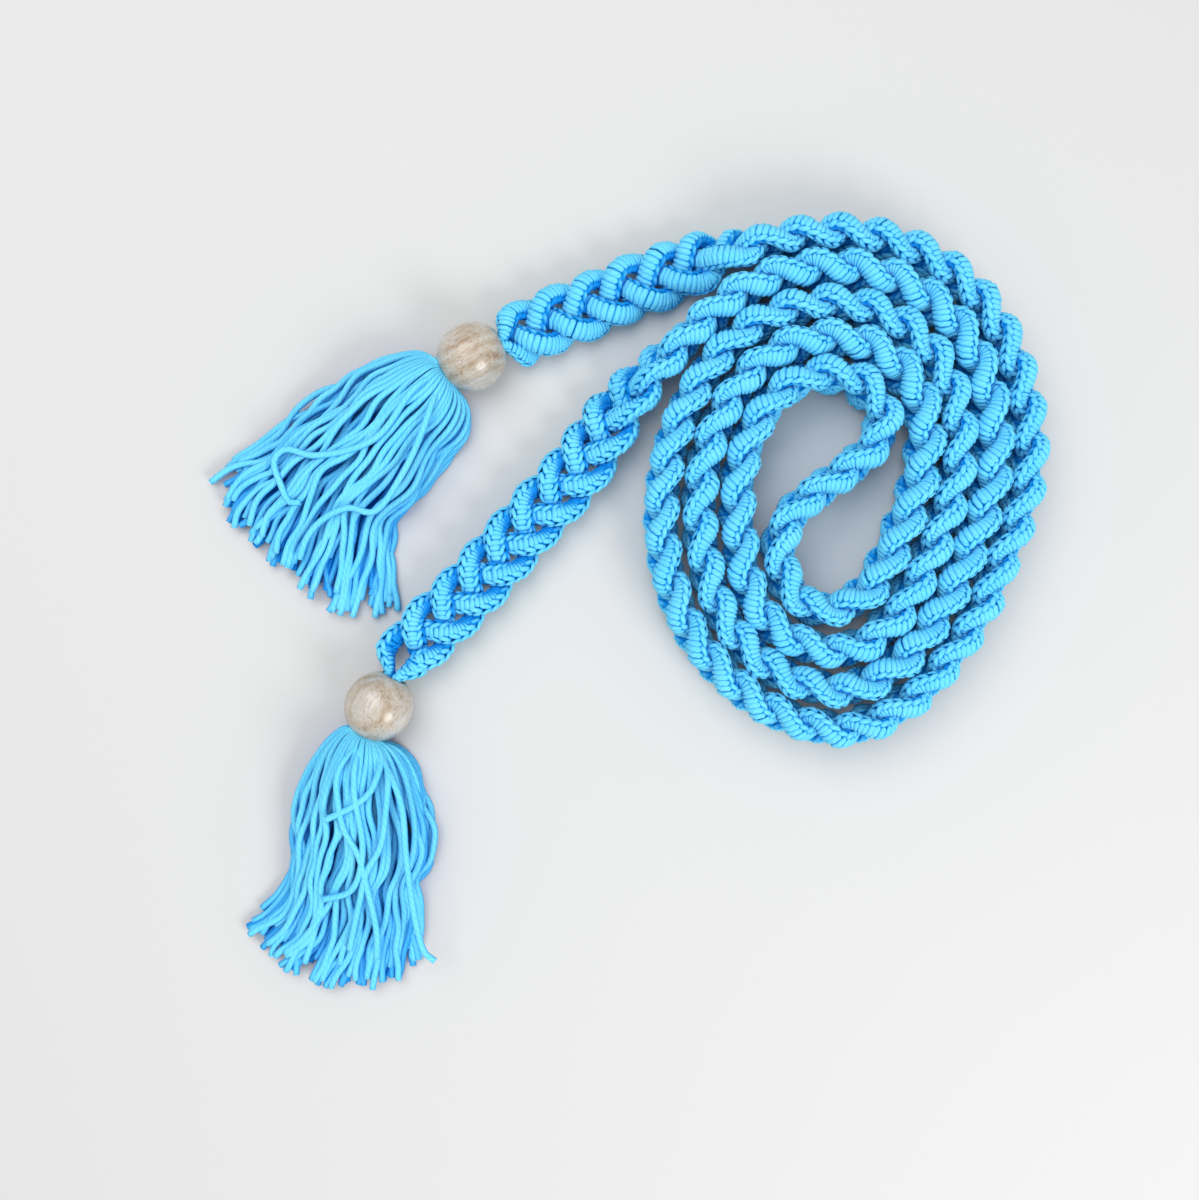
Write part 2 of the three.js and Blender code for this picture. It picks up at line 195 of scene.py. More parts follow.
# The three crocheted strips of the plait. Each is a narrow band of firm stitches in soft cotton
# yarn: a chain of open Vs along both edges, short posts between them on one face, and long posts
# right across the other. They are plaited by hand and gathered into the bead at each end.
STRIP_WIDTH = 9.4
PLAIT_PERIOD = 46
PLAIT_SWING = 8.9
PLAIT_LIFT = 3.4
BROAD_BENDS = 0.03
SLANTED_TOPS = 0.08
FIRST_PHASE = 90
STRIP_TILT = 12
STRIP_CUP = 34
REACH_ON_EDGE = 4.2
REACH_WHEN_FLAT = 3.9
FLOOR_GAP = 0.5
GATHER_LENGTH = 11
OPENING_LENGTH = 7.5
GATHERED_DIAMETER = 3.6
GATHERED_RADIUS = 2.3
ROLLS = ((80, 126), (112, 196))
SAMPLE_START = 0.15
SAMPLE_STEP = 0.4
CENTRE, WIDE, DEEP, OUTWARDS = (slice(first, first + 3) for first in (0, 3, 6, 9))
SIZE = 12


def smooth(share):
    t = np.clip(share, 0, 1)
    return t * t * (3 - 2 * t)


def mix(start, end, share):
    return start + (end - start) * share


def column(values):
    return np.asarray(values)[:, None]


def plait_frame(distance):
    """The plait's middle, its directions across its width and through its thickness, and how far
    it has opened out of the bead. It lies flat near the beads and stands on edge in the coil."""
    spacing = np.gradient(route_places)
    heading = unit(np.gradient(route, axis=0) / column(spacing))
    middle = read_along(distance, route_places, route) + frame_shift
    along = unit(read_along(distance, route_places, heading))
    left = np.stack([-along[:, 1], along[:, 0], np.zeros(len(distance))], axis=-1)
    up = np.array([0.0, 0.0, 1.0])
    from_end = route_length - distance
    first = smooth((distance - ROLLS[0][0]) / (ROLLS[0][1] - ROLLS[0][0]))
    second = smooth((from_end - ROLLS[1][0]) / (ROLLS[1][1] - ROLLS[1][0]))
    roll = math.radians(90) * (first + 1 - second)
    through = column(np.cos(roll)) * up + column(np.sin(roll)) * left
    across = column(np.cos(roll)) * left - column(np.sin(roll)) * up
    opening = smooth((np.minimum(distance, from_end) - BEAD_LENGTH / 2) / OPENING_LENGTH)
    half_width = PLAIT_SWING + REACH_ON_EDGE
    half_thickness = PLAIT_LIFT + REACH_WHEN_FLAT
    standing = np.hypot(half_width * np.sin(roll), half_thickness * np.cos(roll))
    height = mix(BEAD_DIAMETER / 2, standing + FLOOR_GAP, opening)
    return np.column_stack([middle, height]), across, through, opening


plait_start = BEAD_LENGTH / 2 + GATHER_LENGTH
plait_end = route_length - plait_start
thirds = round(3 * (plait_end - plait_start) / PLAIT_PERIOD)
period = 3 * (plait_end - plait_start) / thirds
distances = np.arange(SAMPLE_START, route_length, SAMPLE_STEP)
plait_middle, plait_across, plait_through, opening = plait_frame(distances)


def strip_course(strand):
    """One strip at even steps of its length: its centre, its width and depth directions, the way
    out of the plait and its size. It crosses on up to the first bead, but not to the second."""
    inside = np.clip(distances, BEAD_LENGTH / 2, plait_end) - plait_start
    phase = math.radians(FIRST_PHASE + 120 * strand) + 2 * math.pi * inside / period
    swing = (np.sin(phase) + BROAD_BENDS * np.sin(3 * phase)) / (1 - BROAD_BENDS)
    lift = np.sin(2 * phase) + SLANTED_TOPS * opening * np.sin(4 * phase)
    swing *= mix(GATHERED_RADIUS, PLAIT_SWING, opening)
    lift *= mix(GATHERED_RADIUS, PLAIT_LIFT, opening)
    centre = plait_middle + column(swing) * plait_across + column(lift) * plait_through
    tangent = unit(np.gradient(centre, axis=0))
    facing = np.sum(plait_across * tangent, axis=1)
    wide = unit(plait_across - column(facing) * tangent)
    deep = np.cross(tangent, wide)
    lean = STRIP_TILT * np.cos(3 * phase) - STRIP_CUP * np.sin(phase)
    tilt = np.radians(lean) * opening
    tilted_wide = column(np.cos(tilt)) * wide + column(np.sin(tilt)) * deep
    tilted_deep = column(np.cos(tilt)) * deep - column(np.sin(tilt)) * wide
    size = mix(GATHERED_DIAMETER / STRIP_WIDTH, 1, opening)
    places = lengths_along(centre)
    even = np.arange(0, places[-1], SAMPLE_STEP)
    outwards = unit(centre - plait_middle)
    known = np.column_stack([centre, tilted_wide, tilted_deep, outwards, size])
    return even, read_along(even, places, known)


# Each stitch shows four leaves of yarn, a V on either edge, and four posts, two on either face.
# They are plump and packed tight, so only their outer sides are made. The Vs roll over towards
# one face, so the posts are longer on the other. Lengths are millimetres.
LEAF_ROWS = (
    # along (share of a stitch), degrees from the middle of the V, sunk, half_width, height
    (-0.66, 4, 0.8, 0.6, 0.6),
    (-0.24, 17, 0, 1.1, 1.1),
    (0.26, 33, 0, 1.15, 1.1),
    (0.62, 47, 0.8, 0.7, 0.6),
)
POST_ROWS = (
    # along (share of a stitch), share of the face, sunk, half_width (share of its room), height
    (-0.04, -1, 0.8, 0.85, 0.7),
    (-0.02, -0.64, 0, 1.2, 1.1),
    (0, 0, 0, 1.24, 1.1),
    (0.02, 0.64, 0, 1.2, 1.1),
    (0.04, 1, 0.8, 0.85, 0.7),
)
PADDED_THICKNESS = 7
EDGE_LEAN = 23
POST_SPAN = 50
POSTS_ON_A_FACE = 2
STITCH_PITCH = 4.2
PILLOW_DEGREES = (-75, -25, 25, 75)
# Painted light on the tucked ends of leaves and posts and on their sides that face into the plait:
# lower is deeper painted shade.
TUCKED_PAINTED_LIGHT = 0.35
INNER_PAINTED_LIGHT = 0.3
INNER_FACING = -0.6
GATHERED_YARN = 0.4
PLACE_VARIES = 0.02
SECTION_VARIES = 0.08
THICKNESS_VARIES = 0.05
CORE_WIDTH = 3.9
CORE_THICKNESS = 2.4
CORE_SIDES = 6
CORE_STEP = 6


def yarn_rings(points, outward, half_widths, heights, degrees):
    """Rings of yarn round many lines at once, and where each of their points lies on its yarn."""
    tangent = unit(np.gradient(points, axis=1))
    normal = unit(outward - np.sum(outward * tangent, axis=-1, keepdims=True) * tangent)
    binormal = np.cross(tangent, normal)
    angles = np.radians(degrees)
    up = heights[..., None] * np.cos(angles)
    sideways = half_widths[..., None] * np.sin(angles)
    rings = (
        points[:, :, None]
        + up[..., None] * normal[:, :, None]
        + sideways[..., None] * binormal[:, :, None]
    )
    steps = np.linalg.norm(np.diff(points, axis=1), axis=-1)
    lengths = np.concatenate([np.zeros((len(points), 1)), np.cumsum(steps, axis=1)], axis=1)
    turn = np.stack(np.broadcast_arrays(np.cos(angles), np.sin(angles), lengths[..., None]), axis=-1)
    return rings, turn


def yarn_mesh(name, batches):
    """One mesh of many yarns. A batch is its rings, whether they close, where each point lies
    round and along its yarn, and how much painted light it gets, from 0 in painted shade to 1 lit."""
    points, turns, painted_lights, faces = [], [], [], []
    used = 0
    for rings, closed, turn, crown in batches:
        count, stations, sides = rings.shape[:3]
        index = used + np.arange(count * stations * sides).reshape(count, stations, sides)
        after = np.roll(index, -1, axis=2)
        shown = sides if closed else sides - 1
        walls = np.stack([index[:, :-1], after[:, :-1], after[:, 1:], index[:, 1:]], axis=-1)
        faces += walls[:, :, :shown].reshape(-1, 4).tolist()
        if closed:
            faces += index[:, 0, ::-1].tolist()
            faces += index[:, -1].tolist()
        points.append(rings.reshape(-1, 3) * MM)
        turns.append(turn.reshape(-1, 3))
        painted_lights.append(np.broadcast_to(crown, rings.shape[:3]).ravel())
        used += count * stations * sides
    mesh = bpy.data.meshes.new(name)
    mesh.from_pydata(np.concatenate(points).tolist(), [], faces)
    mesh.polygons.foreach_set("use_smooth", [True] * len(mesh.polygons))
    stored = mesh.attributes.new("turn", "FLOAT_VECTOR", "POINT")
    stored.data.foreach_set("vector", np.concatenate(turns).astype(np.float32).ravel())
    stored = mesh.attributes.new("crown", "FLOAT", "POINT")
    stored.data.foreach_set("value", np.concatenate(painted_lights).astype(np.float32))
    mesh.update()
    made = bpy.data.objects.new(name, mesh)
    bpy.context.scene.collection.objects.link(made)
    return made


def stitch_parts():
    """Each leaf and post of one stitch: along, its places round the section, the way that each
    faces, half widths and heights, and whether the widths are shares of the room there."""
    size = np.array([STRIP_WIDTH, PADDED_THICKNESS]) / 2
    along, degrees, sunk, half_width, height = np.array(LEAF_ROWS, float).T
    for edge in (-1, 1):
        for face in (-1, 1):
            angle = np.radians(face * degrees - EDGE_LEAN)
            around = np.column_stack([edge * np.cos(angle), np.sin(angle)])
            facing = unit(around / size)
            section = around * size - facing * column(sunk + height)
            yield along, section, facing, half_width, height, False
    along, share, sunk, half_width, height = np.array(POST_ROWS, float).T
    for face in (-1, 1):
        angle = np.radians(share * (POST_SPAN + face * EDGE_LEAN))
        around = np.column_stack([np.sin(angle), face * np.cos(angle)])
        facing = unit(around / size)
        section = around * size - facing * column(sunk + height)
        for post in range(POSTS_ON_A_FACE):
            shift = (post + 0.5) / POSTS_ON_A_FACE - 0.5
            yield along + shift, section, facing, half_width / POSTS_ON_A_FACE / 2, height, True


def stitch_places(even, course):
    """How many stitches there are up to each place. They keep their pitch along the outer edge
    of every bend, where the strip is stretched, and crowd together along its inner edge."""
    edges = [course[:, CENTRE] + side * STRIP_WIDTH / 2 * course[:, WIDE] for side in (-1, 1)]
    steps = [np.linalg.norm(np.gradient(edge, axis=0), axis=1) for edge in edges]
    return np.cumsum(np.maximum(*steps)) / STITCH_PITCH


def crocheted_strip(strand, seed):
    """A strip's mesh with every stitch laid along its course, its path and its length."""
    even, course = strip_course(strand)
    length = even[-1]
    chance = np.random.default_rng(seed)
    counted = stitch_places(even, course)
    stitches = column(np.arange(1, int(counted[-1])))
    batches = []
    for along, section, facing, half_width, height, is_share in stitch_parts():
        slipped = stitches + along + chance.normal(0, PLACE_VARIES, stitches.shape)
        read = read_along(np.interp(slipped, counted, even), even, course)
        size = read[..., SIZE]
        wide, deep = read[..., WIDE], read[..., DEEP]
        wobble = chance.normal(0, SECTION_VARIES, (2, *stitches.shape))
        points = (
            read[..., CENTRE]
            + ((section[:, 0] + wobble[0]) * size)[..., None] * wide
            + ((section[:, 1] + wobble[1]) * size**0.5)[..., None] * deep
        )
        outward = facing[:, :1] * wide + facing[:, 1:] * deep
        thin = mix(GATHERED_YARN, 1, size) * chance.normal(1, THICKNESS_VARIES, stitches.shape)
        spacing = np.linalg.norm(np.gradient(points, axis=0), axis=-1)
        half_widths = half_width * (spacing if is_share else thin)
        made, turn = yarn_rings(points, outward, half_widths, height * thin, PILLOW_DEGREES)
        # Painted shade: each leaf and post gets less painted light down its sides, at its tucked
        # ends and where it faces into the plait.
        stitch_painted_light = np.ones(len(along))
        stitch_painted_light[[0, -1]] = TUCKED_PAINTED_LIGHT
        outness = np.sum(outward * read[..., OUTWARDS], axis=-1)
        stitch_painted_light = stitch_painted_light * mix(INNER_PAINTED_LIGHT, 1, smooth(outness - INNER_FACING))
        batches.append((made, False, turn, turn[..., 0] * stitch_painted_light[..., None]))
    read = read_along(np.arange(0, length, CORE_STEP)[None, :], even, course)
    core, core_turn = yarn_rings(
        read[..., CENTRE],
        read[..., DEEP],
        CORE_WIDTH * read[..., SIZE],
        CORE_THICKNESS * read[..., SIZE] ** 0.5,
        360 * np.arange(CORE_SIDES) / CORE_SIDES,
    )
    # The core gets no painted light, so it is painted the deep shade colour all over.
    batches.append((core, True, core_turn, 0.0))
    strip = yarn_mesh(f"crocheted_strip_{strand + 1}", batches)
    return strip, course[:, CENTRE] * MM, length * MM


# Soft mercerised cotton in bright sky blue, with a painted highlight where the yarn stands out and
# painted shade, a deeper blue, in the hollows between the loops and in the grooves of its plies.
# Each yarn shows the twist of its plies and its fibres.
class Shade:
    """A shader socket. Arithmetic on one adds Math nodes to its material."""

    def __init__(self, tree, socket):
        self.tree = tree
        self.socket = socket

    def node(self, kind, settings, inputs, output=0):
        made = self.tree.nodes.new(f"ShaderNode{kind}")
        for name, value in settings.items():
            if name == "stops":
                ramp = made.color_ramp
                while len(ramp.elements) < len(value):
                    ramp.elements.new(0.5)
                for element, (position, color) in zip(ramp.elements, value):
                    element.position = position
                    element.color = color
            else:
                setattr(made, name, value)
        for name, value in inputs.items():
            if isinstance(value, Shade):
                self.tree.links.new(value.socket, made.inputs[name])
            else:
                made.inputs[name].default_value = value
        return Shade(self.tree, made.outputs[output])

    def maths(self, operation, *values):
        return self.node("Math", {"operation": operation}, dict(enumerate(values)))

    def __add__(self, other):
        return self.maths("ADD", self, other)

    def __radd__(self, other):
        return self.maths("ADD", other, self)

    def __sub__(self, other):
        return self.maths("SUBTRACT", self, other)

    def __rsub__(self, other):
        return self.maths("SUBTRACT", other, self)

    def __mul__(self, other):
        return self.maths("MULTIPLY", self, other)

    def __rmul__(self, other):
        return self.maths("MULTIPLY", other, self)

    def blend(self, start, end):
        """The colour between two others that this value picks."""
        settings = {"data_type": "RGBA"}
        return self.node("Mix", settings, {0: self, 6: start, 7: end}, output=2)


def new_material(name):
    """A material, a Shade to build its nodes from, and its main shader's sockets."""
    material = bpy.data.materials.new(name)
    material.use_nodes = True
    tree = material.node_tree
    shader = tree.nodes["Principled BSDF"]
    return material, Shade(tree, None), shader


# The deep blue is painted shade. The pale blue is partly the yarn's own paler tone and partly a
# painted highlight on the crests.
YARN_BRIGHT = (0.09, 0.6, 0.93, 1)
YARN_PALE_AND_HIGHLIGHT = (0.24, 0.8, 0.98, 1)
YARN_PAINTED_SHADE = (0.0, 0.27, 0.76, 1)
PLIES = 3
PALE_BY_CLOUDS = 0.7
PALE_BY_FIBRES = 0.35
HIGHLIGHT_ON_CRESTS = 0.3
PALE_FROM = 0.25
GROOVE_SHADE = 0.5
FIBRE_RELIEF = 0.55


def cotton_yarn(name, shaded_to_lit, ply_length, ply_depth):
    """Cotton yarn. Its colour goes from painted shade to lit over the given range of painted light,
    which also adds a painted highlight, and the ply length is how far one ply lies from the next
    along the yarn."""
    material, shade, shader = new_material(name)
    crown = shade.node("Attribute", {"attribute_name": "crown"}, {}, output=2)
    turn = shade.node("Attribute", {"attribute_name": "turn"}, {}, output=1)
    around = shade.node("SeparateXYZ", {}, {0: turn})
    tree = material.node_tree
    parts = around.socket.node.outputs
    angle = Shade(tree, parts[1]).maths("ARCTAN2", Shade(tree, parts[1]), Shade(tree, parts[0]))
    run = Shade(tree, parts[2])
    twist = angle * (PLIES / 2) + run * (math.pi / ply_length)
    ply = twist.maths("ABSOLUTE", twist.maths("COSINE", twist))
    place = shade.node("TexCoord", {}, {}, output=3)
    cloudy = shade.node("TexNoise", {}, {"Vector": place, "Scale": 90.0, "Detail": 3.0})
    fibres = shade.node("TexNoise", {}, {"Vector": place, "Scale": 1700.0, "Detail": 3.0})
    # Painted light and shade: with little painted light the yarn is painted deep blue, the grooves
    # of the plies are painted a little darker, and the crests get a painted highlight.
    lit = crown.node(
        "MapRange", {"interpolation_type": "SMOOTHSTEP"},
        {"Value": crown, "From Min": shaded_to_lit[0], "From Max": shaded_to_lit[1]},
    )
    pale_and_highlight = cloudy * PALE_BY_CLOUDS + fibres * PALE_BY_FIBRES + crown * HIGHLIGHT_ON_CRESTS - PALE_FROM
    bright = pale_and_highlight.blend(YARN_BRIGHT, YARN_PALE_AND_HIGHLIGHT)
    painted_light_in_grooves = lit * (1 - ply_depth * GROOVE_SHADE * (1 - ply))
    color = painted_light_in_grooves.blend(YARN_PAINTED_SHADE, bright)
    height = ply * ply_depth + fibres * FIBRE_RELIEF
    bump = shade.node("Bump", {}, {"Strength": 0.55, "Distance": 0.0004, "Height": height})
    tree.links.new(color.socket, shader.inputs["Base Color"])
    tree.links.new(bump.socket, shader.inputs["Normal"])
    shader.inputs["Roughness"].default_value = 0.82
    shader.inputs["Specular IOR Level"].default_value = 0.12
    shader.inputs["Sheen Weight"].default_value = 0.04
    shader.inputs["Sheen Roughness"].default_value = 0.45
    shader.inputs["Sheen Tint"].default_value = (0.6, 0.85, 1, 1)
    return material


crochet_yarn = cotton_yarn("crochet_yarn", shaded_to_lit=(0.2, 0.68), ply_length=3.2, ply_depth=0.3)
for strand in range(3):
    strip, path, strip_length = crocheted_strip(strand, seed=11 + strand)
    strip.data.materials.append(crochet_yarn)
    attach(strip, "root")
    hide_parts(f"strand_{strand + 1}")

# The beads. Each is a large-holed ball turned in pale wood and lightly varnished, with the ends
# of the three strips drawn into one side of its bore and the tassel hanging out of the other.
BEAD_BORE = 8.8
BEAD_EASE = 1
BORE_LIPS = (
    # out from the bore's wall, in from the bead's end
    (0, 1.4),
    (0.25, 0.4),
)
BEAD_AROUND = 64
BEAD_STEPS = 28
WOOD_TONES = (
    (0.32, (0.32, 0.21, 0.12, 1)),
    (0.45, (0.45, 0.36, 0.26, 1)),
    (0.55, (0.52, 0.45, 0.37, 1)),
    (0.7, (0.60, 0.56, 0.51, 1)),
)
PORE_COLOR = (0.22, 0.13, 0.08, 1)
TONE_BY_RINGS = 0.12
TONE_BY_GRAIN = 0.5
TONE_BY_CLOUDS = 0.42
PORE_DARKNESS = 0.6
PORE_DEPTH = 0.8
LEAST_ROUGH = 0.34
ROUGH_BY_GRAIN = 0.22


def bead_mesh(name):
    """A bored ball, turned about the x axis."""
    bore = BEAD_BORE / 2
    radius = BEAD_DIAMETER / 2
    half = BEAD_LENGTH / 2
    bevel = math.asin((bore + BEAD_EASE) / radius)
    profile = [(bore + out, inset - half) for out, inset in BORE_LIPS]
    for step in range(BEAD_STEPS + 1):
        angle = mix(bevel, math.pi - bevel, step / BEAD_STEPS)
        height = -half * math.cos(angle) / math.cos(bevel)
        profile.append((radius * math.sin(angle), height))
    profile += [(bore + out, half - inset) for out, inset in reversed(BORE_LIPS)]
    points = []
    for out, height in profile:
        for side in range(BEAD_AROUND):
            angle = 2 * math.pi * side / BEAD_AROUND
            points.append((
                height * MM,
                out * math.cos(angle) * MM,
                out * math.sin(angle) * MM,
            ))
    faces = []
    rows = len(profile)
    for row in range(rows):
        for side in range(BEAD_AROUND):
            a = row * BEAD_AROUND + side
            b = row * BEAD_AROUND + (side + 1) % BEAD_AROUND
            c = ((row + 1) % rows) * BEAD_AROUND
            faces.append((a, c + side, c + (side + 1) % BEAD_AROUND, b))
    mesh = bpy.data.meshes.new(name)
    mesh.from_pydata(points, [], faces)
    mesh.polygons.foreach_set("use_smooth", [True] * len(mesh.polygons))
    mesh.update()
    made = bpy.data.objects.new(name, mesh)
    bpy.context.scene.collection.objects.link(made)
    return made


def turned_wood():
    material, shade, shader = new_material("turned_wood")
    tree = material.node_tree
    place = shade.node("TexCoord", {}, {}, output=3)
    stretched = shade.node("Mapping", {}, {"Vector": place, "Scale": (0.3, 1.0, 1.0)})
    rings = shade.node(
        "TexWave", {"bands_direction": "Y"},
        {"Vector": stretched, "Scale": 60.0, "Distortion": 9.0, "Detail": 4.0, "Detail Scale": 1.2},
        output=1,
    )
    fibres = shade.node("Mapping", {}, {"Vector": place, "Scale": (0.12, 1.0, 1.0)})
    grain = shade.node("TexNoise", {}, {"Vector": fibres, "Scale": 1500.0, "Detail": 3.0})
    clouds = shade.node("TexNoise", {}, {"Vector": place, "Scale": 110.0, "Detail": 2.0})
    pores = shade.node("TexNoise", {}, {"Vector": fibres, "Scale": 2600.0, "Detail": 0.0})
    pore_mask = pores.node(
        "MapRange", {}, {"Value": pores, "From Min": 0.66, "From Max": 0.74},
    )
    figure = rings * TONE_BY_RINGS + grain * TONE_BY_GRAIN + clouds * TONE_BY_CLOUDS
    tone = shade.node("ValToRGB", {"stops": WOOD_TONES}, {"Fac": figure})
    color = (pore_mask * PORE_DARKNESS).blend(tone, PORE_COLOR)
    height = grain - pore_mask * PORE_DEPTH
    bump = shade.node("Bump", {}, {"Strength": 0.35, "Distance": 0.0002, "Height": height})
    tree.links.new(color.socket, shader.inputs["Base Color"])
    tree.links.new(bump.socket, shader.inputs["Normal"])
    roughness = LEAST_ROUGH + grain * ROUGH_BY_GRAIN
    tree.links.new(roughness.socket, shader.inputs["Roughness"])
    shader.inputs["Coat Weight"].default_value = 1
    shader.inputs["Coat Roughness"].default_value = 0.18
    return material


wood = turned_wood()
ends = ((route[0], route[0] - route[1]), (route[-1], route[-1] - route[-2]))
outward_angles = [math.atan2(direction[1], direction[0]) for _, direction in ends]
for end, (point, _) in enumerate(ends):
    bead = bead_mesh(f"turned_bead_{end + 1}")
    bead.data.materials.append(wood)
    centre = point + frame_shift
    bead.location = (centre[0] * MM, centre[1] * MM, BEAD_DIAMETER / 2 * MM)
    # The second bead lies with another side of its grain up.
    bead.rotation_euler = (math.radians(90) * end, 0, outward_angles[end])
    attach(bead, "root")
    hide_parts(f"bead_{end + 1}")

# The tassels. A thick bunch of the same yarn, tied off inside the bead, swells into a round head
# and fans out over the surface. The pile thins towards its ends, and every yarn is cut blunt.
# Places in a tassel are its reach out of the bead's middle and its side, left being positive.
TASSELS = (
    {
        "right": (
            (12, -3), (18, -12), (36, -15.5), (52, -13.6), (68, -11.3), (83, -8), (97, -8),
            (109, -3),
        ),
        "left": (
            (12, 3), (11, 16), (17, 24), (27, 27.5), (35, 32), (43, 37), (56, 41), (62, 51),
            (70, 65), (76, 74),
        ),
        "tips": (
            (109, -3), (116, 17), (110, 27), (110, 35), (105, 43), (100, 55), (98, 63), (91, 68),
            (85, 73), (76, 74),
        ),
        "strays": (
            ((11, 0), (26, 4), (47, 13), (71, 7), (80, -0.5), (86, 1), (88, 10), (88, 18), (84, 20)),
            ((12, 1), (27, 17), (44, 30), (60, 37), (68, 31), (79, 30), (88, 33), (95, 39)),
        ),
    },
    {
        "right": (
            (12, -2), (14, -8), (22, -11.4), (31, -11.5), (41, -9), (54, -6.7), (73, 1), (84, 1.5),
            (100, -3),
        ),
        "left": (
            (12, 4), (12, 14), (16, 23), (25, 31), (34, 40), (44, 44.5), (53, 44.5), (62, 50),
            (75, 54.5), (86, 60),
        ),
        "tips": (
            (100, -3), (109, 2), (108, 8), (114, 15), (109, 25), (111, 32), (105, 45), (100, 51),
            (96, 55), (86, 60),
        ),
        "strays": (
            ((12, 1), (28, 0), (39, 6), (46, 12), (52, 21), (61, 29), (76, 41), (86, 46)),
            ((12, 3), (19, 16), (33, 23), (45, 27), (57, 27), (69, 30), (88, 35)),
            ((12, 3), (24, 24), (43, 37), (59, 48), (68, 55), (74, 61), (75, 66)),
            ((12, 3), (16, 11), (26, 14), (34, 12), (46, 4)),
            ((12, 0), (30, 8), (50, 22), (66, 25), (75, 17)),
        ),
    },
)
PILE_ROWS = (
    # share of the way out, height of the pile in the middle
    (0, 17), (0.1, 22), (0.22, 25), (0.45, 21), (0.7, 14), (0.9, 8), (1, 6),
)
PILE_AT_SIDES = 0.3
PILE_ROUNDING = 0.6
OUTLINE_STEPS = 12
YARN_RADIUS = 1.3
LAYER_COUNTS = (22, 26, 27, 25, 21)
TASSEL_SIDES = 8
TASSEL_STATIONS = 48
TIP_PLACES = 101
TIP_PULL = 1.3
YARN_SHIFT = 0.35
NECK_REACH = 3.2
HEAD_SHARE = 0.14
NECK_SHARE = 0.2
NECK_SQUEEZE = 0.5
FREE_FROM = 6
FREE_OVER = 34
LOCKS = 4
LOCK_DRIFT = 0.9
LOCK_STAGGER = 0.35
LOCK_PULL = 1.6
RIPPLE_HEIGHT = 0.5
RIPPLE_LENGTHS = (9, 16)
TIP_SPREAD = 0.06
INNER_SHORTER = 0.03
TIP_CURL = 4
CURL_AT_END = 5
STRAY_REACH = 110
STRAY_SHARE = 0.4
STRAY_LIFT = 0.8
STRAY_FROM = 11
STRAY_RISE = 12
# Painted light of the inner layers of the pile, of the yarns at its sides, and of each yarn's
# underside: lower is deeper painted shade.
INNERMOST_PAINTED_LIGHT = 0.42
SIDES_SHOWN = 3
UNDERSIDE_PAINTED_LIGHT = 0.35
WAVE_VARIES = (0.8, 1.25)
WAVES = (
    # length, least swing, most swing
    (90, 0.5, 2.8),
    (38, 0.3, 1.3),
    (17, 0.1, 0.5),
)


def evenly(points, count):
    """This many points at even steps of a curve through the given ones."""
    line = through_points(points, OUTLINE_STEPS)
    places = lengths_along(line)
    return read_along(np.linspace(0, places[-1], count), places, line)


def pile_height(out, share):
    """The pile's height at shares of the way out, at one share of the way from right to left."""
    rows = np.array(PILE_ROWS, float)
    middle = np.interp(out, rows[:, 0], rows[:, 1])
    rounded = mix(PILE_AT_SIDES, 1, math.sin(math.pi * share) ** PILE_ROUNDING)
    return np.maximum(middle * rounded, 2 * YARN_RADIUS)


def tassel_line(shape, share, depth, chance):
    """One yarn's points from the bead's bore to its cut end, about the middle of the bead."""
    out = np.linspace(0, 1, TASSEL_STATIONS)
    right, left = (evenly(shape[side], TASSEL_STATIONS) for side in ("right", "left"))
    flat = mix(right, left, share)
    tips = evenly(shape["tips"], TIP_PLACES)
    tip = tips[int(round(share * (TIP_PLACES - 1)))]
    flat = flat + (tip - flat[-1]) * column(out**TIP_PULL)
    sideways = unit(np.gradient(flat, axis=0))[:, ::-1] * (-1, 1)
    run = lengths_along(flat)
    free = smooth((run - FREE_FROM) / FREE_OVER)
    lock = np.sin(2 * math.pi * (LOCKS * share + LOCK_DRIFT * out + LOCK_STAGGER * depth))
    flat = flat + sideways * column(lock * free) * LOCK_PULL
    flat = flat + sideways * column(chance.normal(0, TIP_CURL) * out**CURL_AT_END)
    for length, least, most in WAVES:
        turns = run / chance.uniform(*WAVE_VARIES) / length + chance.uniform()
        wave = np.sin(2 * math.pi * turns)
        flat = flat + sideways * column(wave * free) * chance.uniform(least, most)
    pile = pile_height(out, share)
    height = YARN_RADIUS + depth * (pile - 2 * YARN_RADIUS)
    ripple = np.abs(chance.normal(0, RIPPLE_HEIGHT))
    height += free * ripple * np.sin(run / chance.uniform(*RIPPLE_LENGTHS)) ** 2
    inner = BEAD_DIAMETER / 2 + (2 * depth - 1) * NECK_REACH
    height = mix(inner, height, smooth(out / HEAD_SHARE))
    cut = 1 - abs(chance.normal(0, TIP_SPREAD)) - INNER_SHORTER * (1 - depth)
    keep = run <= run[-1] * cut
    return np.column_stack([flat, np.maximum(height, YARN_RADIUS)])[keep]


def stray_line(points):
    """A single yarn that has strayed over the top of the pile."""
    flat = evenly(points, TASSEL_STATIONS)
    out = np.clip(flat[:, 0] / STRAY_REACH, 0, 1)
    height = pile_height(out, STRAY_SHARE) + YARN_RADIUS * STRAY_LIFT
    head = smooth((flat[:, 0] - STRAY_FROM) / STRAY_RISE)
    return np.column_stack([flat, mix(BEAD_DIAMETER / 2 + NECK_REACH, height, head)])


